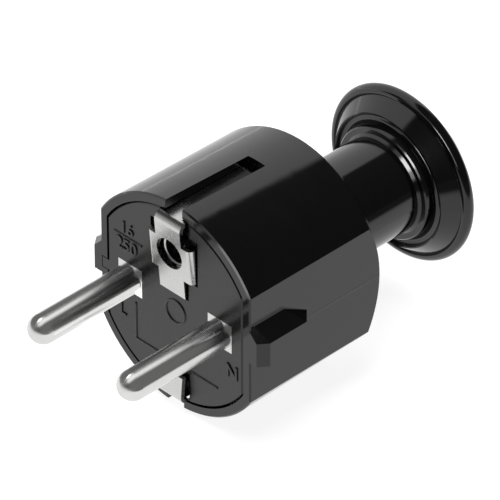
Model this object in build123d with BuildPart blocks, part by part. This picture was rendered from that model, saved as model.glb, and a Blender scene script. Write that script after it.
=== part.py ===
from build123d import *
import os
from math import asin, cos, hypot, radians, sin, sqrt, tan

# Rewireable earthed mains plug with two round pins and a pull grip, in millimetres.
# X is to the right as seen from the pin side, Y runs back along the cable, Z is up towards the earth hole.
# The origin is the middle of the engagement face, so the pins reach into -Y and the body lies in +Y.

# Pins: the standard interface
pin_spacing = 19.0
pin_diameter = 4.8
pin_length = 20.0
shank_width = 5.0
shank_length = 6.5
terminal_width = 6.0
terminal_height = 6.4
terminal_length = 8.0
wire_hole_diameter = 3.2
wire_hole_depth = 6.6
terminal_chamfer = 0.4

# Body: flat sides, round top and bottom that taper to a domed back
body_radius = 18.45
body_half_width = 15.85
crown_draft = 2.4
dome_radius = 26.2
dome_centre = 6.04
edge_round = 0.25
rim_wall = 1.55
wall = 2.4
flat_wall = 1.65
ledge_depth = 4.0
wiring_end_gap = 3.44
wiring_cone_length = 6.3
wiring_end_radius = 7.2

# Neck and pull grip
neck_radius = 8.0
collar_radius = 9.4
collar_front = 43.4
cove_radius = 10.35
cove_bottom = 45.5
shoulder_radius = 11.3
shoulder_front = 44.6
groove_radius = 13.35
groove_bottom = 46.95
grip_edge = 0.2
disc_radius = 14.65
disc_edge_centre = 47.45
disc_edge_round = 1.1
back_rim_radius = 13.2
back_rim_start = 48.75
back_face_radius = 6.6
back_face_start = 53.8
cable_bore_radius = 5.4
cable_exit_radius = 4.7
cable_exit_land = 6.0

# Earthing slots in the top and bottom
slot_width = 3.57
slot_length = 17.0
slot_depth = 2.0

# Snap bumps on the flat sides
bump_reach = 2.6
bump_start_width = 1.35
bump_front = 1.6
bump_end = 9.1
bump_foot = 11.7
bump_bottom = -2.1
bump_top = 2.1
bump_top_foot = 4.2
bump_roof_front = 0.9
bump_roof_end = 7.0
bump_roof_foot = 10.75
bump_roof = 1.85

# Contact carrier
insert_gap = 0.2
insert_thickness = 4.0
fit_clearance = 0.05
pocket_gap = 0.35
key_side = -1
lug_half_height = 0.9
lug_reach = 15.45
lug_clearance = 0.15
nose_reach = 16.3
nose_length = 3.4
nose_land = 1.2
nose_thickness = 0.6
nose_root_depth = 1.0
boss_wall = 1.15
boss_gap = 0.9
latch_wall = 1.2
latch_half_height = 2.0
ridge_height = 4.0
ridge_end = 14.8
latch_length = 1.6
latch_grip = 0.7
rail_width = 2.2
rail_height = 3.0
rail_top = -6.5
rail_inner = 3.2
saddle_start = 19.5
saddle_length = 5.0
saddle_half_width = 9.0
saddle_top = -1.5
trough_radius = 4.2

# Earth strap, bent from one strip
strap_thickness = 0.7
plate_rise = 0.36
plate_lean = 5.0
pocket_depth = 0.95
strap_half_width = 2.65
strap_bend = 0.9
plate_bottom = 2.7
shoulder_drop = 1.05
tab_drop = 4.75
bend_room = 2.4
bend_room_depth = 2.45
ear_reach = 4.6
ear_bottom = 6.2
ear_top = 12.5
ear_hook = 2.0
ear_round = 0.9
neck_pocket_top = 13.9
leg_clearance = 0.09
earth_height = 10.0
earth_hole_radius = 2.65
crossbar_depth = 16.2

# Earth socket sleeve
sleeve_bore_radius = 2.45
sleeve_wall = 0.5
sleeve_start = 0.05
sleeve_end = 14.5
sleeve_slit = 0.8
sleeve_boss_wall = 1.3
sleeve_boss_end = 11.0

# Screws
terminal_screw_radius = 1.5
terminal_head_radius = 2.3
terminal_head_height = 1.6
earth_screw_radius = 1.6
earth_head_radius = 2.6
earth_head_height = 1.7
earth_screw_length = 4.4
earth_screw_height = 3.6
clamp_screw_radius = 1.4
clamp_head_radius = 2.3
clamp_head_height = 1.6
clamp_screw_depth = 5.0
clamp_screw_offset = 6.9
screw_slot_width = 0.7
screw_slot_depth = 0.8
screw_chamfer = 0.2
screw_hole_clearance = 0.2

# Wire washer and cable clamp bar
washer_size = 6.0
washer_thickness = 0.8
clamp_bar_height = 2.0
clamp_bar_bow = 0.9

# Sizes that follow from the ones above
swell_centre = (
    back_face_start**2 + back_face_radius**2 - back_rim_start**2 - back_rim_radius**2
) / (2 * (back_face_start - back_rim_start))
seat_radius = body_radius - rim_wall
seat_half_width = body_half_width - rim_wall + 0.1
insert_radius = seat_radius - insert_gap
insert_half_width = seat_half_width - insert_gap
cavity_radius = body_radius - wall - 0.8
cavity_half_width = body_half_width - flat_wall
body_reach = dome_centre + dome_radius + 1.0
wiring_end = dome_centre + dome_radius - wiring_end_gap
wiring_shoulder = wiring_end - wiring_cone_length
swell_round = hypot(back_face_radius, back_face_start - swell_centre)
swell_turn = (asin(back_rim_radius / swell_round) + asin(back_face_radius / swell_round)) / 2
swell_middle = (swell_round * sin(swell_turn), swell_centre + swell_round * cos(swell_turn))
body_kink = sqrt(body_radius**2 - body_half_width**2)
rear_crown = body_radius - body_reach * tan(radians(crown_draft))
bump_face = body_half_width + bump_reach
leg_level = body_radius - slot_depth
leg_floor = leg_level - strap_thickness
terminal_end = shank_length + terminal_length
crossbar_back = crossbar_depth + strap_thickness / 2
leg_middle = leg_level - strap_thickness / 2
lean_rate = tan(radians(plate_lean))
plate_start = strap_thickness / 2 - plate_rise
plate_front = plate_start - lean_rate * (leg_middle - plate_bottom)
leg_shoulder = leg_level - shoulder_drop
tab_top = tab_drop - leg_level
tab_start = plate_start + lean_rate * (plate_bottom + tab_top)
boss_inner = pin_spacing / 2 - shank_width / 2 - boss_wall
boss_outer = cavity_half_width - boss_gap
leg_half_width = slot_width / 2 - leg_clearance
crossbar_shoulder = cavity_radius - wall / 4
ridge_half_width = leg_half_width
sleeve_radius = sleeve_bore_radius + sleeve_wall
ear_height = ear_top - ear_bottom
pocket_half_width = strap_half_width + pocket_gap
plate_length = neck_pocket_top - plate_bottom + pocket_gap
ear_middle = (ear_bottom + ear_top) / 2
ear_depth = plate_start - lean_rate * (ear_middle - plate_bottom)
hook_depth = pocket_depth + ear_hook
rail_centre = rail_inner + rail_width / 2
saddle_depth = saddle_top - rail_top + rail_height
clamp_centre = saddle_start + saddle_length / 2
clamp_bar_top = saddle_top + clamp_bar_height
terminal_screw_depth = terminal_end - terminal_length * 0.45
terminal_screw_length = terminal_height / 2 - wire_hole_diameter / 4
nose_root = cavity_half_width - nose_thickness
latch_face = pin_spacing / 2 - terminal_width / 2 - fit_clearance


def across(depth):
    """Plane across the plug at a depth behind the engagement face, seen from the pin side."""
    return Plane(origin=(0, depth, 0), x_dir=(1, 0, 0), z_dir=(0, -1, 0))


def plane_through(first, second, third):
    """Plane through three points, which turn anticlockwise as seen from its front."""
    side = Vector(*second) - Vector(*first)
    return Plane(origin=first, x_dir=side, z_dir=side.cross(Vector(*third) - Vector(*first)))


def flat_sided_disc(radius, half_width):
    """Circle with a flat on its left and right side, in the current sketch."""
    Circle(radius)
    Rectangle(2 * half_width, 2 * radius, mode=Mode.INTERSECT)


def flat_sided_arcs(half_width, kink, crown):
    """The same outline with freely chosen arcs, in the current sketch."""
    with BuildLine() as outline:
        upper = ThreePointArc((-half_width, kink), (0, crown), (half_width, kink))
        lower = ThreePointArc((half_width, -kink), (0, -crown), (-half_width, -kink))
        Line(upper @ 1, lower @ 0)
        Line(lower @ 1, upper @ 0)
    make_face(outline.edges())


def strips_beyond(half_width, half_height):
    """A strip above and a strip below a half height, in the current sketch."""
    Rectangle(2 * half_width, 2 * body_radius)
    Rectangle(2 * half_width, 2 * half_height, mode=Mode.SUBTRACT)


def corners_beyond(half_width, half_height):
    """The four corners beyond a half width and a half height, in the current sketch."""
    Rectangle(2 * body_radius, 2 * body_radius)
    Rectangle(2 * half_width, 2 * body_radius, mode=Mode.SUBTRACT)
    Rectangle(2 * body_radius, 2 * half_height, mode=Mode.SUBTRACT)


# Snap bump: a faceted swelling on the right flat, mirrored for the left one
with BuildPart() as bump:
    with BuildSketch(across(0)):
        with BuildLine():
            Polyline(
                (body_half_width - rim_wall / 2, bump_bottom),
                (bump_face, bump_bottom),
                (bump_face, bump_top),
                (body_half_width, bump_top_foot),
                (body_half_width - rim_wall / 2, bump_top_foot),
                close=True,
            )
        make_face()
    extrude(amount=-bump_foot)
    with BuildSketch(Plane.XY.offset(bump_bottom)):
        with BuildLine():
            Polyline(
                (body_half_width - rim_wall / 2, 0),
                (body_half_width + bump_start_width, 0),
                (bump_face, bump_front),
                (bump_face, bump_end),
                (body_half_width, bump_foot),
                (body_half_width - rim_wall / 2, bump_foot),
                close=True,
            )
        make_face()
    extrude(amount=bump_top_foot - bump_bottom, mode=Mode.INTERSECT)

    # Slanting facets cut the front and the rear corner off its roof
    front_facet = plane_through(
        (body_half_width, bump_roof_front, bump_top_foot),
        (body_half_width + bump_start_width, 0, bump_top),
        (bump_face, bump_front, bump_top),
    )
    rear_facet = plane_through(
        (bump_face, bump_end, bump_top),
        (body_half_width, bump_roof_foot, bump_top),
        (body_half_width, bump_roof_end, bump_top_foot),
    )
    split(bisect_by=front_facet, keep=Keep.BOTTOM)
    split(bisect_by=rear_facet, keep=Keep.BOTTOM)

# Housing: body, neck and pull grip in one moulding
with BuildPart() as housing:
    with BuildSketch(across(0)):
        flat_sided_arcs(body_half_width, body_kink, body_radius)
    with BuildSketch(across(body_reach)):
        flat_sided_arcs(body_half_width, body_kink, rear_crown)
    loft(ruled=True)
    with Locations((0, dome_centre, 0)):
        Sphere(dome_radius, mode=Mode.INTERSECT)
    chamfer(housing.faces().sort_by(Axis.Y)[0].edges(), length=edge_round)

    add(bump.part)
    mirror(bump.part, about=Plane.YZ)

    # Grip profile: neck, flat collar, round cove, flared front, round disc edge and a swelling back
    with BuildSketch(Plane.XY):
        with BuildLine():
            front = Polyline(
                (0, dome_centre + dome_radius / 2),
                (neck_radius, dome_centre + dome_radius / 2),
                (neck_radius, collar_front - 2 * grip_edge),
                (neck_radius + 2 * grip_edge, collar_front),
                (collar_radius - grip_edge, collar_front),
                (collar_radius, collar_front + grip_edge),
                (collar_radius + grip_edge, shoulder_front),
            )
            cove = ThreePointArc(
                front @ 1,
                (cove_radius, cove_bottom),
                (shoulder_radius - grip_edge, shoulder_front + grip_edge / 2),
            )
            flare = Polyline(
                cove @ 1,
                (shoulder_radius, shoulder_front),
                (groove_radius, groove_bottom),
                (groove_radius + grip_edge, disc_edge_centre - disc_edge_round / 1.5),
            )
            edge = ThreePointArc(
                flare @ 1,
                (disc_radius, disc_edge_centre),
                (back_rim_radius, back_rim_start),
            )
            swell = ThreePointArc(edge @ 1, swell_middle, (back_face_radius, back_face_start))
            back = Line(swell @ 1, (0, back_face_start))
            Line(back @ 1, front @ 0)
        make_face()
    revolve(axis=Axis.Y)

    # Seat of the contact carrier, then the wiring space behind its ledge
    with BuildSketch(across(0)):
        flat_sided_disc(seat_radius, seat_half_width)
    extrude(amount=-ledge_depth, mode=Mode.SUBTRACT)

# Wiring space, cut as one shape with a conical end
with BuildPart() as wiring_space:
    with BuildSketch(across(ledge_depth)):
        flat_sided_disc(cavity_radius, cavity_half_width)
    extrude(amount=ledge_depth - body_reach)
    with BuildSketch(Plane.XY):
        with BuildLine():
            Polyline(
                (0, 0),
                (body_radius, 0),
                (body_radius, wiring_shoulder),
                (wiring_end_radius, wiring_end),
                (0, wiring_end),
                close=True,
            )
        make_face()
    revolve(axis=Axis.Y, mode=Mode.INTERSECT)

with BuildPart() as housing_shell:
    add(housing.part)
    add(wiring_space.part, mode=Mode.SUBTRACT)

    # Cable bore through neck and grip, drafted, with a short land at the exit
    with BuildSketch(Plane.XY):
        with BuildLine():
            Polyline(
                (0, dome_centre + dome_radius - 2 * wall),
                (cable_bore_radius, dome_centre + dome_radius - 2 * wall),
                (cable_exit_radius, back_face_start - cable_exit_land),
                (cable_exit_radius, back_face_start - edge_round * 2),
                (cable_exit_radius + edge_round * 2, back_face_start),
                (0, back_face_start),
                close=True,
            )
        make_face()
    revolve(axis=Axis.Y, mode=Mode.SUBTRACT)

    # Earthing slots, open to the front and through the wall
    with BuildSketch(across(0)):
        strips_beyond(slot_width / 2, cavity_radius - wall)
    extrude(amount=-slot_length, mode=Mode.SUBTRACT)

    # Notch for the keying lug, and the hidden windows that both noses snap into
    with BuildSketch(across(0)):
        with Locations((key_side * (lug_reach + lug_clearance) / 2, 0)):
            Rectangle(lug_reach + lug_clearance, 2 * (lug_half_height + lug_clearance))
    extrude(amount=-ledge_depth, mode=Mode.SUBTRACT)
    with BuildSketch(across(ledge_depth)):
        Rectangle(2 * (bump_face - bump_roof), 2 * (lug_half_height + lug_clearance))
    extrude(amount=-nose_length - lug_clearance, mode=Mode.SUBTRACT)

housing_shell.part.label = "housing"
export_step(housing_shell.part, "parts/housing.step")

# Contact carrier: the front plate with its lugs, and everything that stands behind it
with BuildPart() as carrier:
    with BuildSketch(across(0)):
        flat_sided_disc(insert_radius, insert_half_width)
    extrude(amount=-insert_thickness)
    chamfer(carrier.faces().sort_by(Axis.Y)[0].edges(), length=edge_round)

    # Keying lug on one side, and snap noses behind the ledge on both
    with BuildSketch(across(0)):
        with Locations((key_side * lug_reach / 2, 0)):
            Rectangle(lug_reach, 2 * lug_half_height)
    extrude(amount=-insert_thickness)
    for side in (-1, 1):
        with BuildSketch(Plane.XY.offset(-lug_half_height)):
            with BuildLine():
                Polyline(
                    (side * nose_root, insert_thickness - nose_root_depth),
                    (side * insert_half_width, insert_thickness - nose_root_depth),
                    (side * insert_half_width, insert_thickness),
                    (side * nose_reach, insert_thickness),
                    (side * nose_reach, insert_thickness + nose_land),
                    (side * (nose_root + nose_root_depth), insert_thickness + nose_length),
                    (side * nose_root, insert_thickness + nose_length),
                    close=True,
                )
            make_face()
        extrude(amount=2 * lug_half_height)

    # Bosses around the pin shanks, and the latches that hold the terminals from behind
    with BuildSketch(across(insert_thickness)):
        Rectangle(2 * boss_outer, shank_width + 2 * boss_wall)
        Rectangle(2 * boss_inner, shank_width + 2 * boss_wall, mode=Mode.SUBTRACT)
    extrude(amount=insert_thickness - shank_length)
    for side in (-1, 1):
        with BuildSketch(Plane.XY.offset(-latch_half_height)):
            with BuildLine():
                Polyline(
                    (side * (latch_face - latch_wall), insert_thickness - nose_root_depth),
                    (side * latch_face, insert_thickness - nose_root_depth),
                    (side * latch_face, terminal_end),
                    (side * (latch_face + latch_grip), terminal_end),
                    (side * latch_face, terminal_end + latch_length),
                    (side * (latch_face - latch_wall), terminal_end + latch_length),
                    close=True,
                )
            make_face()
        extrude(amount=2 * latch_half_height)

    # Boss of the earth socket, and the ridges that carry the legs of the strap
    with BuildSketch(across(insert_thickness)):
        with Locations((0, earth_height)):
            Circle(sleeve_radius + sleeve_boss_wall)
        with Locations((0, leg_floor)):
            Rectangle(2 * body_radius, 2 * body_radius, align=(Align.CENTER, Align.MAX), mode=Mode.INTERSECT)
    extrude(amount=insert_thickness - sleeve_boss_end)
    with BuildSketch(across(insert_thickness)):
        with Locations((0, leg_floor), (0, ridge_height - leg_floor)):
            Rectangle(2 * ridge_half_width, ridge_height, align=(Align.CENTER, Align.MAX))
    extrude(amount=insert_thickness - ridge_end)

    # Two rails that pass the crossbar and carry the cable saddle
    with BuildSketch(across(insert_thickness)):
        with Locations((rail_centre, rail_top), (-rail_centre, rail_top)):
            Rectangle(rail_width, rail_height, align=(Align.CENTER, Align.MAX))
    extrude(amount=insert_thickness - saddle_start)
    with BuildSketch(across(saddle_start)):
        with Locations((0, saddle_top)):
            Rectangle(2 * saddle_half_width, saddle_depth, align=(Align.CENTER, Align.MAX))
        Circle(trough_radius, mode=Mode.SUBTRACT)
    extrude(amount=-saddle_length)
    with Locations(Plane.XY.offset(saddle_top)):
        with Locations((-clamp_screw_offset, clamp_centre), (clamp_screw_offset, clamp_centre)):
            Hole(clamp_screw_radius, depth=clamp_screw_depth)

    # Square holes for the pin shanks
    with BuildSketch(across(0)):
        with GridLocations(pin_spacing, 0, 2, 1):
            Rectangle(shank_width + 2 * fit_clearance, shank_width + 2 * fit_clearance)
    extrude(amount=-shank_length, mode=Mode.SUBTRACT)

    # Pocket of the earth plate with its ears, their hooks and the sleeve
    with BuildSketch(across(0)):
        with Locations((0, plate_bottom - pocket_gap)):
            Rectangle(2 * pocket_half_width, plate_length, align=(Align.CENTER, Align.MIN))
        with Locations((0, ear_bottom - pocket_gap)):
            Rectangle(
                2 * (ear_reach + pocket_gap),
                neck_pocket_top - ear_bottom + pocket_gap,
                align=(Align.CENTER, Align.MIN),
            )
        with Locations((0, tab_top + pocket_gap)):
            Rectangle(2 * pocket_half_width, insert_radius, align=(Align.CENTER, Align.MAX))
    extrude(amount=-pocket_depth, mode=Mode.SUBTRACT)
    with BuildSketch(across(0)):
        with Locations((0, ear_middle)):
            with GridLocations(2 * ear_reach - strap_thickness, 0, 2, 1):
                Rectangle(strap_thickness + pocket_gap, ear_height + 2 * pocket_gap)
    extrude(amount=-hook_depth, mode=Mode.SUBTRACT)
    with BuildSketch(across(0)):
        with Locations((0, earth_height)):
            Circle(sleeve_radius + fit_clearance)
    extrude(amount=-sleeve_end, mode=Mode.SUBTRACT)

    # Room behind the bends, and the notches for the legs
    with BuildSketch(across(0)):
        strips_beyond(pocket_half_width, leg_middle - bend_room)
    extrude(amount=-bend_room_depth, mode=Mode.SUBTRACT)
    with BuildSketch(across(0)):
        strips_beyond(slot_width / 2, leg_floor - fit_clearance)
    extrude(amount=-insert_thickness, mode=Mode.SUBTRACT)

carrier.part.label = "contact_carrier"
export_step(carrier.part, "parts/contact_carrier.step")

# Pins: round nickel-plated brass, turned on a square shank that ends in a terminal block
for side, pin_name in ((-1, "live_pin"), (1, "neutral_pin")):
    pin_centre = side * pin_spacing / 2
    with BuildPart() as pin:
        with BuildSketch(Plane((pin_centre, 0, 0))):
            with BuildLine():
                stem = Line((0, 0), (pin_diameter / 2, 0))
                flank = Line(stem @ 1, (pin_diameter / 2, pin_diameter / 2 - pin_length))
                tip = RadiusArc(flank @ 1, (0, -pin_length), pin_diameter / 2)
                Line(tip @ 1, stem @ 0)
            make_face()
        revolve(axis=Axis((pin_centre, 0, 0), (0, 1, 0)))
        with BuildSketch(across(0)):
            with Locations((pin_centre, 0)):
                Rectangle(shank_width, shank_width)
        extrude(amount=-shank_length)
        with BuildSketch(across(shank_length)):
            with Locations((pin_centre, 0)):
                Rectangle(terminal_width, terminal_height)
        extrude(amount=-terminal_length)
        chamfer(pin.faces().sort_by(Axis.Y)[-1].edges(), length=terminal_chamfer)
        with BuildSketch(across(terminal_end)):
            with Locations((pin_centre, 0)):
                Circle(wire_hole_diameter / 2)
        extrude(amount=wire_hole_depth, mode=Mode.SUBTRACT)
        with BuildSketch(Plane.XY.offset(terminal_height / 2)):
            with Locations((pin_centre, terminal_screw_depth)):
                Circle(terminal_screw_radius)
        extrude(amount=-terminal_height / 2, mode=Mode.SUBTRACT)
    pin.part.label = pin_name
    export_step(pin.part, "parts/" + pin_name + ".step")

# Earth strap: leaning front plate with ears and a hole, legs in both slots, crossbar behind the carrier
with BuildPart() as earth_strap:
    with BuildSketch(Plane.YZ):
        with BuildLine():
            FilletPolyline(
                (plate_start, plate_bottom),
                (plate_front, leg_middle),
                (crossbar_depth, leg_middle),
                (crossbar_depth, -leg_middle),
                (plate_front, -leg_middle),
                (tab_start, tab_top),
                radius=strap_bend,
            )
        trace(line_width=strap_thickness)
    extrude(amount=strap_half_width, both=True)

    # Legs are narrower where they lie in the slots, and a little further in at the crossbar
    with BuildSketch(across(-fit_clearance)):
        corners_beyond(leg_half_width, leg_shoulder)
    extrude(amount=-slot_length, mode=Mode.SUBTRACT)
    with BuildSketch(across(insert_thickness)):
        corners_beyond(leg_half_width, crossbar_shoulder)
    extrude(amount=insert_thickness - slot_length, mode=Mode.SUBTRACT)

    # Ears with their ends turned back into the carrier
    ear_plane = Plane(
        origin=(0, ear_depth, ear_middle),
        x_dir=(1, 0, 0),
        z_dir=(0, -cos(radians(plate_lean)), -sin(radians(plate_lean))),
    )
    with BuildSketch(ear_plane.offset(-strap_thickness / 2)):
        Rectangle(2 * ear_reach, ear_height)
    extrude(amount=strap_thickness)
    with BuildSketch(ear_plane.offset(-strap_thickness / 2)):
        with GridLocations(2 * ear_reach - strap_thickness, 0, 2, 1):
            Rectangle(strap_thickness, ear_height)
    extrude(amount=-ear_hook)
    ear_edges = earth_strap.edges().filter_by(
        lambda edge: abs(abs(edge.center().X) - ear_reach) < fit_clearance
        and abs(edge.length - ear_height) < fit_clearance
        and edge.center().Y < ear_depth
    )
    fillet(ear_edges, radius=ear_round)

    # Earth hole
    with BuildSketch(across(insert_thickness)):
        with Locations((0, earth_height)):
            Circle(earth_hole_radius)
    extrude(amount=2 * insert_thickness, mode=Mode.SUBTRACT)

    # Thread of the earth screw in the crossbar
    with BuildSketch(across(crossbar_back)):
        with Locations((0, earth_screw_height)):
            Circle(earth_screw_radius)
    extrude(amount=strap_thickness, mode=Mode.SUBTRACT)

earth_strap.part.label = "earth_strap"
export_step(earth_strap.part, "parts/earth_strap.step")

# Slit spring sleeve that grips the earth pin of the socket
with BuildPart() as earth_sleeve:
    with BuildSketch(across(sleeve_start)):
        with Locations((0, earth_height)):
            Circle(sleeve_radius)
            Circle(sleeve_bore_radius, mode=Mode.SUBTRACT)
        with Locations((0, earth_height - sleeve_bore_radius)):
            Rectangle(sleeve_slit, 4 * sleeve_wall, mode=Mode.SUBTRACT)
    extrude(amount=sleeve_start - sleeve_end)

earth_sleeve.part.label = "earth_sleeve"
export_step(earth_sleeve.part, "parts/earth_sleeve.step")

# Clamping washer under the earth screw
with BuildPart() as earth_washer:
    with BuildSketch(across(crossbar_back)):
        with Locations((0, earth_screw_height)):
            RectangleRounded(washer_size, washer_size, edge_round * 2)
            Circle(earth_screw_radius + screw_hole_clearance, mode=Mode.SUBTRACT)
    extrude(amount=-washer_thickness)

earth_washer.part.label = "earth_washer"
export_step(earth_washer.part, "parts/earth_washer.step")

# Cable clamp bar: a bowed metal bar over the saddle
with BuildPart() as clamp_bar:
    with BuildSketch(across(saddle_start)):
        with BuildLine():
            lower_left = Line((-saddle_half_width, saddle_top), (-trough_radius, saddle_top))
            lower_bow = ThreePointArc(
                lower_left @ 1,
                (0, saddle_top + clamp_bar_bow),
                (trough_radius, saddle_top),
            )
            Polyline(
                lower_bow @ 1,
                (saddle_half_width, saddle_top),
                (saddle_half_width, clamp_bar_top),
                (trough_radius, clamp_bar_top),
            )
            upper_bow = ThreePointArc(
                (trough_radius, clamp_bar_top),
                (0, clamp_bar_top + clamp_bar_bow),
                (-trough_radius, clamp_bar_top),
            )
            Polyline(upper_bow @ 1, (-saddle_half_width, clamp_bar_top), lower_left @ 0)
        make_face()
    extrude(amount=-saddle_length)
    with Locations(Plane.XY.offset(clamp_bar_top)):
        with Locations((-clamp_screw_offset, clamp_centre), (clamp_screw_offset, clamp_centre)):
            Hole(clamp_screw_radius + screw_hole_clearance, depth=clamp_bar_height)
    fillet(clamp_bar.edges().filter_by(Axis.Z), radius=clamp_bar_height / 2)

clamp_bar.part.label = "cable_clamp_bar"
export_step(clamp_bar.part, "parts/cable_clamp_bar.step")


def slotted_screw(seat, head_radius, head_height, shank_radius, shank_length):
    """Cheese-head screw; the seat plane lies under its head and faces out of it."""
    with BuildPart() as screw:
        with BuildSketch(seat):
            Circle(head_radius)
        extrude(amount=head_height)
        rim = screw.edges().filter_by(GeomType.CIRCLE).sort_by(Axis(seat.origin, seat.z_dir))[-1]
        chamfer(rim, length=screw_chamfer)
        with BuildSketch(seat):
            Circle(shank_radius)
        extrude(amount=-shank_length)
        with BuildSketch(seat.offset(head_height)):
            Rectangle(2 * head_radius, screw_slot_width)
        extrude(amount=-screw_slot_depth, mode=Mode.SUBTRACT)
    return screw.part


# Screws of the two pin terminals
for side, screw_name in ((-1, "live_terminal_screw"), (1, "neutral_terminal_screw")):
    terminal_screw = slotted_screw(
        Plane((side * pin_spacing / 2, terminal_screw_depth, terminal_height / 2)),
        terminal_head_radius,
        terminal_head_height,
        terminal_screw_radius,
        terminal_screw_length,
    )
    terminal_screw.label = screw_name
    export_step(terminal_screw, "parts/" + screw_name + ".step")

# Earth screw, from behind through the washer into the crossbar
earth_screw = slotted_screw(
    Plane((0, crossbar_back + washer_thickness, earth_screw_height), x_dir=(1, 0, 0), z_dir=(0, 1, 0)),
    earth_head_radius,
    earth_head_height,
    earth_screw_radius,
    earth_screw_length,
)
earth_screw.label = "earth_terminal_screw"
export_step(earth_screw, "parts/earth_terminal_screw.step")

# Cable clamp screws, down through the bar into the saddle
for side, screw_name in ((-1, "clamp_screw_left"), (1, "clamp_screw_right")):
    clamp_screw = slotted_screw(
        Plane((side * clamp_screw_offset, clamp_centre, clamp_bar_top)),
        clamp_head_radius,
        clamp_head_height,
        clamp_screw_radius,
        clamp_bar_height + clamp_screw_depth,
    )
    clamp_screw.label = screw_name
    export_step(clamp_screw, "parts/" + screw_name + ".step")
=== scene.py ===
"""Looks of an earthed mains plug with two round pins and a pull grip, dressed on its CAD frame.

Everything is in metres in the frame of the part: X runs to the right as seen from the pin side,
Y back along the cable, Z up to the earth hole, and the origin is the middle of the engagement
face. The classes below dress the CAD nodes with procedural finishes and add the shallow relief
that a mould leaves.
"""

from __future__ import annotations

import logging
import math
from dataclasses import dataclass
from enum import Enum
from typing import Any, Sequence

import bpy
import numpy as np
from mathutils import Matrix, Vector


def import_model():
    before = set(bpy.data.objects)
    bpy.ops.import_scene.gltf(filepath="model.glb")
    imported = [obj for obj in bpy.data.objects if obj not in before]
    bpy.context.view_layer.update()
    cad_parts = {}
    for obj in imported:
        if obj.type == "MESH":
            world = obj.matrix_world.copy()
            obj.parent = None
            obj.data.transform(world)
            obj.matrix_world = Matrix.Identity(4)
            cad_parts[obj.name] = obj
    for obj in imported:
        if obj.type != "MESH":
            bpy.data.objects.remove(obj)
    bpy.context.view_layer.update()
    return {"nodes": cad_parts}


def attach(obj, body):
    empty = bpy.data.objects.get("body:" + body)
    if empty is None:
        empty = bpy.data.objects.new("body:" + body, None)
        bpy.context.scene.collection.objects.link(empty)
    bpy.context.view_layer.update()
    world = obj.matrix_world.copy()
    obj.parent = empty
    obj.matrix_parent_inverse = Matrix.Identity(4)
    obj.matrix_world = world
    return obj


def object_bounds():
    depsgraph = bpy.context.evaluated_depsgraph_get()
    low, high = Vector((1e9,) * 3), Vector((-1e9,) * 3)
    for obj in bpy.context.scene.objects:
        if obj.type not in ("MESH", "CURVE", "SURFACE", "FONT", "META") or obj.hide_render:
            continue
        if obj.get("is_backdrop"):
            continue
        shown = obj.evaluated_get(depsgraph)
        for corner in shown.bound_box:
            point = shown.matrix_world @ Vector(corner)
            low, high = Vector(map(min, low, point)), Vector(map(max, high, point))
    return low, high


log = logging.getLogger("mains_plug")

MM = 0.001
BODY = "root"
WHITE = (1.0, 1.0, 1.0, 1.0)
# Nearly all values of a noise texture lie between these two
NOISE_LOW, NOISE_HIGH = 0.3, 0.7


class Side(Enum):
    """The two sides of the plug, as signs along X."""

    LEFT = -1
    RIGHT = 1


class FinishSlot(Enum):
    """Material slots of the record that new pieces take their finish from."""

    BLACK_MOULDING = "black_moulding"
    CARRIER_MOULDING = "carrier_moulding"
    EARTH_STRIP = "earth_strip"


def linear_colour(code: str) -> tuple[float, float, float, float]:
    """Turn an sRGB hex code into linear RGBA, by the two branches of the sRGB curve.

    Args:
        code: Six hex digits with a leading hash.

    Returns:
        Red, green, blue and an alpha of one, for a shader socket.
    """
    parts = [int(code[i : i + 2], 16) / 255 for i in (1, 3, 5)]
    line = [c / 12.92 if c <= 0.04045 else ((c + 0.055) / 1.055) ** 2.4 for c in parts]
    return (line[0], line[1], line[2], 1.0)


def add_node(
    tree: bpy.types.NodeTree,
    kind: str,
    values: dict[Any, Any] | None = None,
    links: dict[Any, bpy.types.NodeSocket] | None = None,
    **settings: Any,
) -> bpy.types.Node:
    """Add one shader node with its settings, socket values and incoming links.

    Args:
        tree: The tree that gets the node.
        kind: Blender's name for the node type.
        values: Constants by input socket, a name or a number.
        links: Sources by input socket, a name or a number.
        **settings: Properties of the node itself.

    Returns:
        The new node.
    """
    node = tree.nodes.new(kind)
    for name, setting in settings.items():
        setattr(node, name, setting)
    for socket, value in (values or {}).items():
        node.inputs[socket].default_value = value
    for socket, source in (links or {}).items():
        tree.links.new(source, node.inputs[socket])
    return node


def fresh_material(name: str) -> tuple[bpy.types.Material, bpy.types.NodeTree]:
    """Make an empty node material.

    Args:
        name: The material's name.

    Returns:
        The material and its node tree.
    """
    material = bpy.data.materials.new(name)
    material.use_nodes = True
    material.node_tree.nodes.clear()
    return material, material.node_tree


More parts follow.
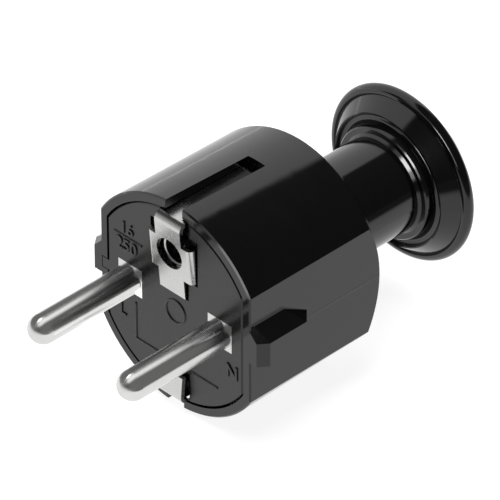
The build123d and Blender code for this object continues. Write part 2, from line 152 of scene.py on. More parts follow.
@dataclass(frozen=True)
class BlackMoulding:
    """Black ABS or polyamide as it comes out of a steel mould.

    A polished tool gives a deep gloss with a slow waviness and a faint orange skin; a blasted
    tool gives a fine satin. The colour drifts a little between two blacks where the melt flowed.
    """

    name: str
    dark: str
    light: str
    roughness: float
    roughness_spread: float
    flow_mm: float
    skin_mm: float
    skin_depth_mm: float
    wave_mm: float
    wave_depth_mm: float
    ior: float = 1.52

    def build(self) -> bpy.types.Material:
        """Build the moulding's node material.

        Returns:
            The finished material.
        """
        material, tree = fresh_material(self.name)
        place = add_node(tree, "ShaderNodeTexCoord").outputs["Object"]
        flow = add_node(
            tree,
            "ShaderNodeTexNoise",
            {"Scale": 1 / (self.flow_mm * MM), "Detail": 3.0, "Distortion": 0.6},
            {"Vector": place},
        ).outputs["Fac"]
        skin = add_node(
            tree,
            "ShaderNodeTexNoise",
            {"Scale": 1 / (self.skin_mm * MM), "Detail": 2.0, "Roughness": 0.6},
            {"Vector": place},
        ).outputs["Fac"]
        wave = add_node(
            tree,
            "ShaderNodeTexNoise",
            {"Scale": 1 / (self.wave_mm * MM), "Detail": 1.0},
            {"Vector": place},
        ).outputs["Fac"]
        tint = add_node(
            tree,
            "ShaderNodeMix",
            {6: linear_colour(self.dark), 7: linear_colour(self.light)},
            {0: flow},
            data_type="RGBA",
        )
        gloss = add_node(
            tree,
            "ShaderNodeMapRange",
            {
                "From Min": NOISE_LOW,
                "From Max": NOISE_HIGH,
                "To Min": self.roughness,
                "To Max": self.roughness + self.roughness_spread,
            },
            {"Value": flow},
        ).outputs["Result"]
        waved = add_node(
            tree,
            "ShaderNodeBump",
            {"Strength": 1.0, "Distance": self.wave_depth_mm * MM},
            {"Height": wave},
        ).outputs["Normal"]
        skinned = add_node(
            tree,
            "ShaderNodeBump",
            {"Strength": 1.0, "Distance": self.skin_depth_mm * MM},
            {"Height": skin, "Normal": waved},
        ).outputs["Normal"]
        shader = add_node(
            tree,
            "ShaderNodeBsdfPrincipled",
            {"IOR": self.ior, "Metallic": 0.0},
            {"Base Color": tint.outputs[2], "Roughness": gloss, "Normal": skinned},
        )
        add_node(tree, "ShaderNodeOutputMaterial", links={"Surface": shader.outputs[0]})
        return material


@dataclass(frozen=True)
class PlatedMetal:
    """Metal with a thin plate: nickel on turned brass, nickel on rolled strip, or zinc on steel.

    Fine lines stay from the turning, rolling or brushing; they stretch a narrow noise along one
    axis. The plate is a little duller in soft patches.
    """

    name: str
    light: str
    dark: str
    roughness: float
    roughness_spread: float
    line_mm: float
    stretch: tuple[float, float, float]
    line_depth_mm: float
    patch_mm: float
    spread_along: tuple[float, float, float] = (0.0, 1.0, 0.0)
    anisotropy: float = 0.0

    def build(self) -> bpy.types.Material:
        """Build the plated metal's node material.

        Returns:
            The finished material.
        """
        material, tree = fresh_material(self.name)
        place = add_node(tree, "ShaderNodeTexCoord").outputs["Object"]
        along = add_node(
            tree, "ShaderNodeMapping", {"Scale": self.stretch}, {"Vector": place}
        ).outputs[0]
        lines = add_node(
            tree,
            "ShaderNodeTexNoise",
            {"Scale": 1 / (self.line_mm * MM), "Detail": 2.0, "Roughness": 0.5},
            {"Vector": along},
        ).outputs["Fac"]
        patch = add_node(
            tree,
            "ShaderNodeTexNoise",
            {"Scale": 1 / (self.patch_mm * MM), "Detail": 3.0},
            {"Vector": place},
        ).outputs["Fac"]
        tint = add_node(
            tree,
            "ShaderNodeMix",
            {6: linear_colour(self.dark), 7: linear_colour(self.light)},
            {0: patch},
            data_type="RGBA",
        )
        # The mean of patches and lines sets the gloss
        half_patch = add_node(
            tree, "ShaderNodeMath", {1: 0.5}, {0: patch}, operation="MULTIPLY"
        ).outputs[0]
        mean = add_node(
            tree, "ShaderNodeMath", {1: 0.5}, {0: lines, 2: half_patch}, operation="MULTIPLY_ADD"
        ).outputs[0]
        gloss = add_node(
            tree,
            "ShaderNodeMapRange",
            {
                "From Min": NOISE_LOW,
                "From Max": NOISE_HIGH,
                "To Min": self.roughness,
                "To Max": self.roughness + self.roughness_spread,
            },
            {"Value": mean},
        ).outputs["Result"]
        scored = add_node(
            tree,
            "ShaderNodeBump",
            {"Strength": 1.0, "Distance": self.line_depth_mm * MM},
            {"Height": lines},
        ).outputs["Normal"]
        axis = add_node(
            tree, "ShaderNodeCombineXYZ", dict(enumerate(self.spread_along))
        ).outputs[0]
        shader = add_node(
            tree,
            "ShaderNodeBsdfPrincipled",
            {"Metallic": 1.0, "Anisotropic": self.anisotropy},
            {"Base Color": tint.outputs[2], "Roughness": gloss, "Normal": scored, "Tangent": axis},
        )
        add_node(tree, "ShaderNodeOutputMaterial", links={"Surface": shader.outputs[0]})
        return material


# Polished tool: deep gloss, so reflections stay sharp and only the long waves bend them
GLOSS_BLACK = BlackMoulding(
    name="moulded_gloss_black_abs",
    dark="#0A0A0B",
    light="#101011",
    roughness=0.07,
    roughness_spread=0.05,
    flow_mm=9.0,
    skin_mm=0.5,
    skin_depth_mm=0.0006,
    wave_mm=7.0,
    wave_depth_mm=0.004,
)

# Finely blasted tool: the front of the carrier is a shade duller and greyer than the body
SATIN_BLACK = BlackMoulding(
    name="moulded_satin_black_polyamide",
    dark="#101011",
    light="#191919",
    roughness=0.24,
    roughness_spread=0.08,
    flow_mm=5.0,
    skin_mm=0.22,
    skin_depth_mm=0.004,
    wave_mm=5.0,
    wave_depth_mm=0.004,
)

# Turned brass under bright nickel: fine rings from the lathe round each pin
NICKEL_PIN = PlatedMetal(
    name="turned_brass_nickel_plated",
    light="#E0E0DF",
    dark="#D2D2D1",
    roughness=0.16,
    roughness_spread=0.06,
    line_mm=0.35,
    stretch=(0.15, 2.0, 0.15),
    line_depth_mm=0.003,
    patch_mm=3.0,
    anisotropy=1.0,
)

# Rolled strip under satin nickel: lines along the strip, duller than the pins
NICKEL_STRIP = PlatedMetal(
    name="stamped_strip_satin_nickel",
    light="#D4D4D3",
    dark="#C5C5C4",
    roughness=0.22,
    roughness_spread=0.08,
    line_mm=0.3,
    stretch=(1.6, 0.2, 0.2),
    line_depth_mm=0.0015,
    patch_mm=2.5,
)

# Zinc-plated steel screws, washer and clamp bar: cooler and rougher than nickel
ZINC_STEEL = PlatedMetal(
    name="zinc_plated_steel",
    light="#BFC3C8",
    dark="#A9ADB3",
    roughness=0.28,
    roughness_spread=0.15,
    line_mm=0.4,
    stretch=(1.0, 0.5, 1.0),
    line_depth_mm=0.002,
    patch_mm=1.5,
)


def new_object(name: str, data: bpy.types.ID) -> bpy.types.Object:
    """Make an object and put it into the scene.

    Args:
        name: The object's name.
        data: Its mesh, curve, lamp or camera.

    Returns:
        The object, at the origin and unturned.
    """
    thing = bpy.data.objects.new(name, data)
    bpy.context.scene.collection.objects.link(thing)
    return thing


def new_mesh(name: str, points: np.ndarray, faces: Sequence[Sequence[int]]) -> bpy.types.Mesh:
    """Make a mesh.

    Args:
        name: The mesh's name.
        points: Vertex positions in metres, on the last axis of the array.
        faces: Vertex numbers of each face.

    Returns:
        The mesh.
    """
    mesh = bpy.data.meshes.new(name)
    mesh.from_pydata(points.reshape(-1, 3).tolist(), [], faces)
    return mesh


def new_piece(
    mesh: bpy.types.Mesh, material: bpy.types.Material, crisp_deg: float
) -> bpy.types.Object:
    """Turn a mesh into a smooth-shaded piece that rides on the plug's only body.

    Args:
        mesh: Its mesh, which also gives the name.
        material: Its finish.
        crisp_deg: Edges sharper than this angle stay crisp.

    Returns:
        The piece.
    """
    mesh.materials.clear()
    mesh.materials.append(material)
    mesh.update()
    mesh.shade_smooth()
    mesh.set_sharp_from_angle(angle=math.radians(crisp_deg))
    piece = new_object(mesh.name, mesh)
    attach(piece, BODY)
    return piece


def full_turn(steps: int) -> np.ndarray:
    """Angles of a whole turn in equal steps from 0, without the repeated end."""
    return np.linspace(0, 2 * math.pi, steps + 1)[:-1]


def tube_faces(rows: int, across: int, ring: bool) -> list[list[int]]:
    """Number the faces of a tube: rows of points, each row a closed loop round the tube.

    Point j of row i has the number i times across plus j, and each quad joins the points j and
    j + 1 of two neighbouring rows.

    Args:
        rows: Number of rows.
        across: Points in each row.
        ring: True if the last row joins the first, else both ends close with a flat cap.

    Returns:
        Faces as lists of vertex numbers.
    """
    row = np.arange(rows if ring else rows - 1)[:, None]
    column = np.arange(across)[None, :]
    after, beside = (row + 1) % rows, (column + 1) % across
    corners = (
        row * across + column,
        row * across + beside,
        after * across + beside,
        after * across + column,
    )
    faces = np.stack(corners, axis=-1).reshape(-1, 4).tolist()
    if not ring:
        faces.append(list(range(across))[::-1])
        faces.append(list(range((rows - 1) * across, rows * across)))
    return faces


@dataclass(frozen=True)
class Figures:
    """Plain figures on the face: the piece's name, the figures, their height and their place."""

    name: str
    words: str
    height_mm: float
    left_mm: float
    base_mm: float


@dataclass
class FaceRelief:
    """Shallow raised lines and plain figures moulded on the front of the contact carrier."""

    material: bpy.types.Material
    line_width_mm: float = 0.38
    line_height_mm: float = 0.20
    arch_points: int = 7
    rating_line_mm: tuple[tuple[float, float], ...] = ((-12.8, 7.15), (-6.9, 7.15))
    foot_line_mm: tuple[tuple[float, float], ...] = ((-8.3, -3.9), (-8.3, -10.45), (9.0, -10.45))
    ring_centre_mm: tuple[float, float] = (0.2, -1.0)
    ring_radius_mm: float = 2.0
    ring_steps: int = 48
    line_crisp_deg: float = 50
    figure_crisp_deg: float = 40
    # Of the font's own size: how far the letters reach to each side of their plane
    letter_extrude: float = 0.1
    letter_bevel: float = 0.02
    figures: tuple[Figures, ...] = (
        Figures("rating_upper", "16", 2.1, -10.9, 7.75),
        Figures("rating_lower", "250", 2.2, -12.3, 4.55),
        Figures("terminal_left", "L", 2.0, -11.6, -7.5),
        Figures("terminal_right", "N", 2.4, 11.0, -6.9),
    )

    def line(self, name: str, path_mm: np.ndarray, ring: bool = False) -> bpy.types.Object:
        """Raise a low rounded line along a path on the engagement face.

        Across the path the line is half an ellipse: offset = half width times cos(t), height
        times sin(t), for t from 0 to pi, closed by a foot half its height inside the face. At a
        corner the offset goes along the mitre, the sum of both side normals over one plus their
        dot product. An open line closes with flat caps.

        Args:
            name: The piece's name.
            path_mm: Its points (x, z) in millimetres.
            ring: True for a ring.

        Returns:
            The finished piece.
        """
        path = path_mm * MM
        half_width, height = self.line_width_mm * MM / 2, self.line_height_mm * MM
        ahead = np.roll(path, -1, axis=0) - path
        ahead /= np.linalg.norm(ahead, axis=1, keepdims=True)
        behind = np.roll(ahead, 1, axis=0)
        if not ring:
            ahead[-1] = behind[-1]
            behind[0] = ahead[0]
        next_side = np.stack([-ahead[:, 1], ahead[:, 0]], axis=1)
        last_side = np.stack([-behind[:, 1], behind[:, 0]], axis=1)
        both = (next_side * last_side).sum(axis=1, keepdims=True)
        mitre = (next_side + last_side) / (1 + both)

        arch = np.linspace(0, math.pi, self.arch_points)
        offset = np.concatenate([half_width * np.cos(arch), [-half_width, half_width]])
        rise = np.concatenate([height * np.sin(arch), [-height / 2, -height / 2]])
        plane = path[:, None, :] + offset[None, :, None] * mitre[:, None, :]
        depth = np.broadcast_to(-rise, plane.shape[:2])
        points = np.stack([plane[..., 0], depth, plane[..., 1]], axis=-1)
        mesh = new_mesh(name, points, tube_faces(len(path), len(offset), ring))
        return new_piece(mesh, self.material, self.line_crisp_deg)

    def raise_figures(self, mark: Figures) -> bpy.types.Object:
        """Raise plain figures on the face.

        The text's own plane turns up onto the face, (x, y, z) to (x, -z, y). Its height is
        scaled to the wanted one, and its thickness to the height of the lines.

        Args:
            mark: The figures with their size and place.

        Returns:
            The finished piece.
        """
        curve = bpy.data.curves.new(mark.name, "FONT")
        curve.body = mark.words
        curve.extrude = self.letter_extrude
        curve.bevel_depth = self.letter_bevel
        curve.bevel_resolution = 1
        holder = new_object(mark.name, curve)
        graph = bpy.context.evaluated_depsgraph_get()
        mesh = bpy.data.meshes.new_from_object(holder.evaluated_get(graph))
        bpy.data.objects.remove(holder)
        mesh.name = mark.name

        flat = np.empty(len(mesh.vertices) * 3, dtype=np.float32)
        mesh.vertices.foreach_get("co", flat)
        flat = flat.reshape(-1, 3)
        low, high = flat.min(axis=0), flat.max(axis=0)
        size = mark.height_mm / (high[1] - low[1])
        reach = self.letter_extrude + self.letter_bevel
        raised = np.stack(
            [
                mark.left_mm + (flat[:, 0] - low[0]) * size,
                -flat[:, 2] / reach * self.line_height_mm,
                mark.base_mm + (flat[:, 1] - low[1]) * size,
            ],
            axis=1,
        )
        mesh.vertices.foreach_set("co", (raised * MM).astype(np.float32).ravel())
        return new_piece(mesh, self.material, self.figure_crisp_deg)

    def build(self) -> list[bpy.types.Object]:
        """Build all relief of the face.

        Returns:
            The pieces.
        """
        turn = full_turn(self.ring_steps)
        circle = self.ring_radius_mm * np.stack([np.cos(turn), np.sin(turn)], axis=1)
        lines = [
            self.line("rating_line", np.array(self.rating_line_mm)),
            self.line("foot_line", np.array(self.foot_line_mm)),
            self.line("face_ring", np.array(self.ring_centre_mm) + circle, ring=True),
        ]
        return lines + [self.raise_figures(mark) for mark in self.figures]


@dataclass
class Housing:
    """The glossy black body with neck and grip, and the fine parting line its mould leaves."""

    material: bpy.types.Material
    flat_mm: float = 15.85
    line_ends_mm: tuple[float, float] = (12.0, 26.6)
    line_section_mm: tuple[tuple[float, float], ...] = (
        (0.02, 0.0),
        (0.0, 0.045),
        (-0.14, 0.0),
        (-0.14, -0.03),
        (0.02, -0.03),
    )
    crisp_deg: float = 50

    def parting_line(self, side: Side) -> bpy.types.Object:
        """Raise the mould's parting line on one flat.

        Its section, points (z, height over the flat), is a low saw tooth: steep above and
        sloping below, closed by a foot inside the flat, and carried straight along Y.

        Args:
            side: Which flat.

        Returns:
            The finished piece.
        """
        z, height = np.array(self.line_section_mm).T
        y = np.array(self.line_ends_mm)[:, None]
        x = side.value * (self.flat_mm + height)
        points = np.stack(np.broadcast_arrays(x, y, z), axis=-1)
        faces = tube_faces(*points.shape[:2], ring=False)
        # As it stands, the faces of both lines point inwards
        if side is Side.RIGHT:
            faces = [face[::-1] for face in faces]
        mesh = new_mesh(f"parting_line_{side.name.lower()}", points * MM, faces)
        return new_piece(mesh, self.material, self.crisp_deg)

    def build(self) -> list[bpy.types.Object]:
        """Build the lines on both flats."""
        return [self.parting_line(side) for side in Side]


@dataclass
class EarthSocket:
    """The spring bead just behind the mouth of the earth sleeve, which bears on the earth pin."""

    material: bpy.types.Material
    centre_z_mm: float = 10.0
    bore_radius_mm: float = 2.45
    depth_mm: float = 0.45
    bead_half_width_mm: float = 0.16
    bead_height_mm: float = 0.22
    seat_in_wall_mm: float = 0.15
    bead_points: int = 9
    turn_steps: int = 64
    crisp_deg: float = 50

    def bead(self) -> bpy.types.Object:
        """Roll the bead, turned round the axis of the bore.

        Over the depth s from -1 to 1 the radius is bore - height cos^2(pi s / 2). The outer side
        lies inside the sleeve's wall, so that the ring is closed.

        Returns:
            The finished piece.
        """
        along = np.linspace(-1, 1, self.bead_points)
        inner = self.bore_radius_mm - self.bead_height_mm * np.cos(math.pi * along / 2) ** 2
        radius = np.concatenate([inner, np.full(2, self.bore_radius_mm + self.seat_in_wall_mm)])
        depth = self.depth_mm + self.bead_half_width_mm * np.concatenate([along, [1.0, -1.0]])
        turn = full_turn(self.turn_steps)[:, None]
        x, z = radius * np.cos(turn), self.centre_z_mm + radius * np.sin(turn)
        points = np.stack(np.broadcast_arrays(x, depth, z), axis=-1)
        # As it stands, these faces point inwards too
        faces = tube_faces(*points.shape[:2], ring=True)
        mesh = new_mesh("earth_sleeve_bead", points * MM, faces)
        return new_piece(mesh, self.material, self.crisp_deg)


@dataclass
class FrameDressing:
    """Gives every CAD node the finish of its own material."""

    nodes: dict[str, bpy.types.Object]
    finishes: dict[str, bpy.types.Material]

    def dress(self) -> None:
        """Put each node's finish on all slots of its object."""
        for name, piece in self.nodes.items():
            material = self.finishes[name]
            for slot in piece.material_slots:
                slot.material = material
            log.info("node %s wears %s", name, material.name)


def hang_sheet(
    name: str,
    pairs_m: np.ndarray,
    material: bpy.types.Material,
    glow: bpy.types.Node,
    receivers: Sequence[bpy.types.Object],
) -> bpy.types.Object:
    """Hang a glowing sheet that the camera doesn't see and that rays pass through.

    Its glow reaches only the pieces it is linked to, as cards and masks do on a studio table.

    Args:
        name: The sheet's name.
        pairs_m: Pairs of points across the sheet, one pair after the other along it.
        material: Its material, still without an output.
        glow: The material's emission node.
        receivers: The pieces that it lights.

    Returns:
        The sheet's object.
    """
    tree = material.node_tree
    clear = add_node(tree, "ShaderNodeBsdfTransparent")
    both = add_node(tree, "ShaderNodeAddShader", links={0: glow.outputs[0], 1: clear.outputs[0]})
    add_node(tree, "ShaderNodeOutputMaterial", links={"Surface": both.outputs[0]})

    row = np.arange(len(pairs_m) - 1) * 2
    faces = np.stack([row, row + 1, row + 3, row + 2], axis=1)
    mesh = new_mesh(name, pairs_m, faces.tolist())
    mesh.materials.append(material)
    sheet = new_object(name, mesh)
    sheet.visible_camera = False
    sheet.visible_diffuse = False
    sheet.visible_shadow = False
    lit = bpy.data.collections.new(f"lit_by_{name}")
    for piece in receivers:
        lit.objects.link(piece)
    sheet.light_linking.receiver_collection = lit
    sheet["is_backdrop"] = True
    return sheet


@dataclass(frozen=True)
class BentPanel:
    """A large diffuser bent round the plug's long axis.

    Angles run from the right (0) over the top (90) to the left (180). The glow rises over the
    first fade angle at its first edge and falls over the second one at its last edge.
    """

    name: str
    radius_m: float
    span_deg: tuple[float, float]
    fade_deg: tuple[float, float]
    ends_m: tuple[float, float]
    strength: float
    columns: int = 33

    def build(self, receivers: Sequence[bpy.types.Object]) -> bpy.types.Object:
        """Hang the panel: points (radius cos a, y, radius sin a) over the angle a, at both ends y.

        Args:
            receivers: The pieces that it lights.

        Returns:
            The panel's object.
        """
        material, tree = fresh_material(f"glow_{self.name}")
        place = add_node(tree, "ShaderNodeTexCoord").outputs["Object"]
        parts = add_node(tree, "ShaderNodeSeparateXYZ", links={0: place})
        angle = add_node(
            tree,
            "ShaderNodeMath",
            links={0: parts.outputs["Z"], 1: parts.outputs["X"]},
            operation="ARCTAN2",
        ).outputs[0]
        # The angle's jump lies straight below, where no panel hangs
        turn = add_node(
            tree,
            "ShaderNodeMath",
            {1: 1.5 * math.pi, 2: -0.5 * math.pi},
            {0: angle},
            operation="WRAP",
        ).outputs[0]
        first, last = (math.radians(edge) for edge in self.span_deg)
        rise, fall = (math.radians(fade) for fade in self.fade_deg)
        edges = [
            add_node(
                tree,
                "ShaderNodeMapRange",
                {"From Min": edge, "From Max": inside, "To Min": 0.0, "To Max": full},
                {"Value": turn},
                interpolation_type="SMOOTHSTEP",
            ).outputs["Result"]
            for edge, inside, full in (
                (first, first + rise, 1.0),
                (last, last - fall, self.strength),
            )
        ]
        power = add_node(
            tree, "ShaderNodeMath", links={0: edges[0], 1: edges[1]}, operation="MULTIPLY"
        ).outputs[0]
        glow = add_node(tree, "ShaderNodeEmission", {"Color": WHITE}, {"Strength": power})

        bend = np.radians(np.linspace(*self.span_deg, self.columns))[:, None]
        x, z = self.radius_m * np.cos(bend), self.radius_m * np.sin(bend)
        pairs = np.stack(np.broadcast_arrays(x, np.array(self.ends_m), z), axis=-1)
        return hang_sheet(self.name, pairs, material, glow, receivers)


@dataclass(frozen=True)
class FlatCard:
    """A small flat reflector card with an even glow, given by pairs of points across it."""

    name: str
    pairs_mm: tuple[tuple[tuple[float, float, float], tuple[float, float, float]], ...]
    strength: float

    def build(self, receivers: Sequence[bpy.types.Object]) -> bpy.types.Object:
        """Hang the card.

        Args:
            receivers: The pieces that it lights.

        Returns:
            The card's object.
        """
        material, tree = fresh_material(f"glow_{self.name}")
        glow = add_node(tree, "ShaderNodeEmission", {"Color": WHITE, "Strength": self.strength})
        return hang_sheet(self.name, np.array(self.pairs_mm) * MM, material, glow, receivers)


@dataclass(frozen=True)
class SoftLamp:
    """One rectangular lamp that faces the plug and leaves no image in its gloss."""

    name: str
    place_m: tuple[float, float, float]
    size_m: tuple[float, float]
    power_w: float
    aim_m: tuple[float, float, float] = (0.0, 0.015, 0.0)

    def build(self) -> bpy.types.Object:
        """Hang the lamp.

        Returns:
            The lamp's object.
        """
        data = bpy.data.lights.new(self.name, "AREA")
        data.shape = "RECTANGLE"
        data.size, data.size_y = self.size_m
        data.energy = self.power_w
        lamp = new_object(self.name, data)
        place = Vector(self.place_m)
        turn = (Vector(self.aim_m) - place).to_track_quat("-Z", "Y")
        lamp.matrix_world = Matrix.Translation(place) @ turn.to_matrix().to_4x4()
        lamp.visible_glossy = False
        return lamp


# All black pieces mirror a sweep on their left
MOULDING_SWEEP = BentPanel(
    "left_sweep",
    radius_m=0.6,
    span_deg=(101.0, 181.5),
    fade_deg=(7.0, 2.0),
    ends_m=(-0.5, 1.6),
    strength=1.05,
)
# The housing alone mirrors these three: two far strips in front of it in its edges, and one
# near strip over the pins in the rings of its grip, as glints
HOUSING_STRIPS = (
    BentPanel(
        "edge_strip",
        radius_m=0.6,
        span_deg=(5.0, 84.0),
        fade_deg=(15.0, 15.0),
        ends_m=(-1.0, -0.72),
        strength=4.5,
    ),
    BentPanel(
        "rim_strip",
        radius_m=0.6,
        span_deg=(68.0, 150.0),
        fade_deg=(14.0, 10.0),
        ends_m=(-1.0, -0.6),
        strength=0.9,
    ),
    BentPanel(
        "grip_strip",
        radius_m=0.05,
        span_deg=(34.0, 80.0),
        fade_deg=(12.0, 12.0),
        ends_m=(-0.024, -0.008),
        strength=14.0,
    ),
)
# All plated pieces but the strap and its sleeve mirror these: a strip above, a small window
# before the tips of the pins, and a weak fill all round
PIN_LIGHTS = (
    BentPanel(
        "strip_above",
        radius_m=0.6,
        span_deg=(62.0, 122.0),
        fade_deg=(27.0, 27.0),
        ends_m=(-0.6, 1.2),
        strength=1.0,
    ),
    BentPanel(
        "tip_window",
        radius_m=0.58,
        span_deg=(107.0, 124.0),
        fade_deg=(2.0, 2.0),
        ends_m=(-0.22, 0.03),
        strength=3.0,
    ),
    BentPanel(
        "pin_fill",
        radius_m=0.7,
        span_deg=(-4.0, 184.0),
        fade_deg=(4.0, 4.0),
        ends_m=(-1.2, 1.6),
        strength=0.12,
    ),
)
# Held before the face, so that the lower side of the left pin mirrors white and not black
PIN_CARD = FlatCard(
    "pin_card",
    (
        ((-16.0, -0.3, -3.0), (-16.0, -0.3, -17.5)),
        ((-7.0, -0.3, 0.4), (-7.0, -0.3, -17.5)),
        ((16.0, -0.3, -8.9), (16.0, -0.3, -17.5)),
    ),
    strength=1.0,
)
# The strap mirrors a card over the mouth of the upper slot, which makes only its first part
# shine there, and a panel in its bend
STRAP_LIGHTS = (
    FlatCard(
        "slot_card",
        (
            ((-7.0, 1.0, 19.6), (-7.0, 4.6, 19.6)),
            ((2.6, 1.0, 19.6), (2.6, 4.6, 19.6)),
        ),
        strength=1.0,
    ),
    BentPanel(
        "bend_panel",
        radius_m=0.65,
        span_deg=(125.0, 182.0),
        fade_deg=(20.0, 2.0),
        ends_m=(-1.5, -0.2),
        strength=0.5,
    ),
)
# They give the floor its soft shadow
LAMPS = (
    SoftLamp(
        "panel_behind_left", place_m=(-0.42, 0.40, 0.46), size_m=(0.30, 0.30), power_w=3.0
    ),
    SoftLamp("panel_above", place_m=(0.0, -0.10, 0.60), size_m=(0.45, 0.45), power_w=3.0),
)


@dataclass
class Studio:
    """White floor, dim room, bent diffusers, two lamps and the camera."""

    floor_colour: str = "#A2A2A2"
    floor_drop_mm: float = 0.4
    floor_half_m: float = 6.0
    floor_shown: float = 0.89
    table_edge_m: tuple[float, float] = (0.06, 0.11)
    table_mirrored: tuple[float, float] = (1.06, 0.11)
    room_mirrored: float = 0.06
    room_shown: float = 1.0
    camera_mm: tuple[float, float, float] = (578.73, -550.0, 602.3)
    right: tuple[float, float, float] = (0.69996, 0.71418, -0.00197)
    down: tuple[float, float, float] = (0.42438, -0.41814, -0.80316)
    forward: tuple[float, float, float] = (-0.57443, 0.56134, -0.59576)
    lens_mm: float = 488.59
    sensor_mm: float = 36.0
    clip_m: tuple[float, float] = (0.1, 20.0)

    @staticmethod
    def seen_rays(path: bpy.types.Node) -> bpy.types.NodeSocket:
        """Tell the rays that show the ground white from all others.

        Args:
            path: The tree's light path node.

        Returns:
            A socket that is one for the camera's rays and for rays that passed through
            something, and else zero.
        """
        return add_node(
            path.id_data,
            "ShaderNodeMath",
            links={0: path.outputs["Is Camera Ray"], 1: path.outputs["Is Transmission Ray"]},
            operation="MAXIMUM",
        ).outputs[0]

    def floor(self) -> bpy.types.Object:
        """Lay the floor just under the plug.

        Its diffuse part takes the shadow, and a glow keeps it white. Mirror rays see the glow up
        to the table's edge on the right, where the dim room starts.

        Returns:
            The floor's object.
        """
        material, tree = fresh_material("white_studio_floor")
        path = add_node(tree, "ShaderNodeLightPath")
        place = add_node(tree, "ShaderNodeTexCoord").outputs["Object"]
        parts = add_node(tree, "ShaderNodeSeparateXYZ", links={0: place})
        near, far = self.table_edge_m
        bright, dull = self.table_mirrored
        table = add_node(
            tree,
            "ShaderNodeMapRange",
            {"From Min": near, "From Max": far, "To Min": bright, "To Max": dull},
            {"Value": parts.outputs["X"]},
            interpolation_type="SMOOTHSTEP",
        ).outputs["Result"]
        mirrored = add_node(
            tree,
            "ShaderNodeMath",
            links={0: table, 1: path.outputs["Is Glossy Ray"]},
            operation="MULTIPLY",
        ).outputs[0]
        shown = add_node(
            tree,
            "ShaderNodeMath",
            {1: self.floor_shown},
            {0: self.seen_rays(path)},
            operation="MULTIPLY",
        ).outputs[0]
        glow = add_node(
            tree, "ShaderNodeMath", links={0: shown, 1: mirrored}, operation="ADD"
        ).outputs[0]
        light = add_node(tree, "ShaderNodeEmission", {"Color": WHITE}, {"Strength": glow})
        matt = add_node(
            tree, "ShaderNodeBsdfDiffuse", {"Color": linear_colour(self.floor_colour)}
        )
        # Mirror rays see only the glow, so the diffuse part is left out for them
        nothing = add_node(tree, "ShaderNodeEmission", {"Strength": 0.0})
        ground = add_node(
            tree,
            "ShaderNodeMixShader",
            links={0: path.outputs["Is Glossy Ray"], 1: matt.outputs[0], 2: nothing.outputs[0]},
        )
        both = add_node(
            tree, "ShaderNodeAddShader", links={0: light.outputs[0], 1: ground.outputs[0]}
        )
        add_node(tree, "ShaderNodeOutputMaterial", links={"Surface": both.outputs[0]})

        half = self.floor_half_m
        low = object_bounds()[0].z - self.floor_drop_mm * MM
        corners = [(-half, -half, low), (half, -half, low), (half, half, low), (-half, half, low)]
        mesh = new_mesh("floor", np.array(corners), [(0, 1, 2, 3)])
        mesh.materials.append(material)
        floor = new_object("floor", mesh)
        floor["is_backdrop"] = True
        return floor

    def room(self) -> None:
        """Fill the room with dim even light, and show it white to the camera."""
        world = bpy.data.worlds.new("soft_room")
        bpy.context.scene.world = world
        world.use_nodes = True
        tree = world.node_tree
        tree.nodes.clear()
        path = add_node(tree, "ShaderNodeLightPath")
        dim, white = (
            add_node(tree, "ShaderNodeBackground", {"Color": WHITE, "Strength": strength})
            for strength in (self.room_mirrored, self.room_shown)
        )
        mix = add_node(
            tree,
            "ShaderNodeMixShader",
            links={0: self.seen_rays(path), 1: dim.outputs[0], 2: white.outputs[0]},
        )
        add_node(tree, "ShaderNodeOutputWorld", links={"Surface": mix.outputs[0]})

    def camera(self) -> None:
        """Set the camera where the photograph was taken from, with its axes as fitted."""
        data = bpy.data.cameras.new("camera")
        data.lens = self.lens_mm
        data.sensor_width = self.sensor_mm
        data.clip_start, data.clip_end = self.clip_m
        camera = new_object("camera", data)
        rows = (self.right, [-c for c in self.down], [-c for c in self.forward])
        turn = Matrix(rows).transposed().to_quaternion().to_matrix().to_4x4()
        camera.matrix_world = Matrix.Translation(Vector(self.camera_mm) * MM) @ turn
        bpy.context.scene.camera = camera

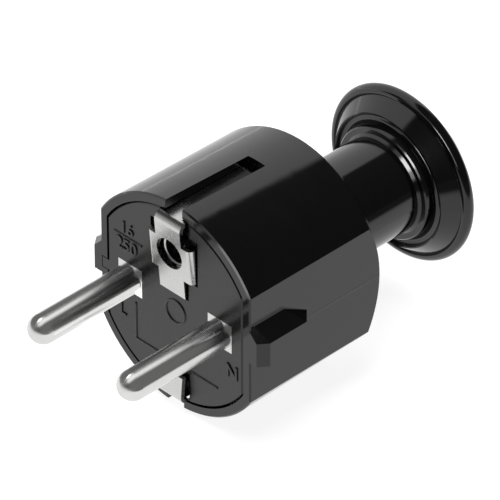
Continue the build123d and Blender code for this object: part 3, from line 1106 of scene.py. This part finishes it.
    def build(
        self,
        mouldings: Sequence[bpy.types.Object],
        metals: Sequence[bpy.types.Object],
        housing: Sequence[bpy.types.Object],
        left_pin: bpy.types.Object,
        strap: bpy.types.Object,
    ) -> None:
        """Set up camera, floor, room, panels and lamps.

        Args:
            mouldings: The black pieces.
            metals: The plated pieces, without the earth strap and its sleeve.
            housing: The black pieces of the body alone.
            left_pin: The pin that stands beside the face.
            strap: The bent earth strap.
        """
        bpy.context.scene.view_settings.view_transform = "Standard"
        self.camera()
        self.floor()
        self.room()
        MOULDING_SWEEP.build(mouldings)
        for strip in HOUSING_STRIPS:
            strip.build(housing)
        for panel in PIN_LIGHTS:
            panel.build(metals)
        PIN_CARD.build([left_pin])
        for light in STRAP_LIGHTS:
            light.build([strap])
        for lamp in LAMPS:
            lamp.build()


def main() -> None:
    """Dress the frame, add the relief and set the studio."""
    logging.basicConfig(level=logging.INFO, format="%(message)s")
    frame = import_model()

    gloss = GLOSS_BLACK.build()
    satin = SATIN_BLACK.build()
    pin = NICKEL_PIN.build()
    strip = NICKEL_STRIP.build()
    zinc = ZINC_STEEL.build()
    finishes = {
        "housing": gloss,
        "contact_carrier": satin,
        "live_pin": pin,
        "neutral_pin": pin,
        "earth_strap": strip,
        "earth_sleeve": strip,
        "earth_washer": zinc,
        "cable_clamp_bar": zinc,
        "live_terminal_screw": zinc,
        "neutral_terminal_screw": zinc,
        "earth_terminal_screw": zinc,
        "clamp_screw_left": zinc,
        "clamp_screw_right": zinc,
    }
    nodes = {name: bpy.data.objects[name] for name in frame["nodes"]}
    FrameDressing(nodes, finishes).dress()

    lines = Housing(gloss).build()
    relief = FaceRelief(satin).build()
    beads = [EarthSocket(strip).bead()]
    for piece in lines + relief + beads:
        log.info("piece %s: %d faces", piece.name, len(piece.data.polygons))

    housing = [nodes["housing"]] + lines
    black = housing + [nodes["contact_carrier"]] + relief
    strap_and_sleeve = [nodes["earth_strap"], nodes["earth_sleeve"]]
    metals = [piece for piece in nodes.values() if piece not in black + strap_and_sleeve]
    Studio().build(black, metals + beads, housing, nodes["live_pin"], nodes["earth_strap"])


if __name__ == "__main__":
    main()
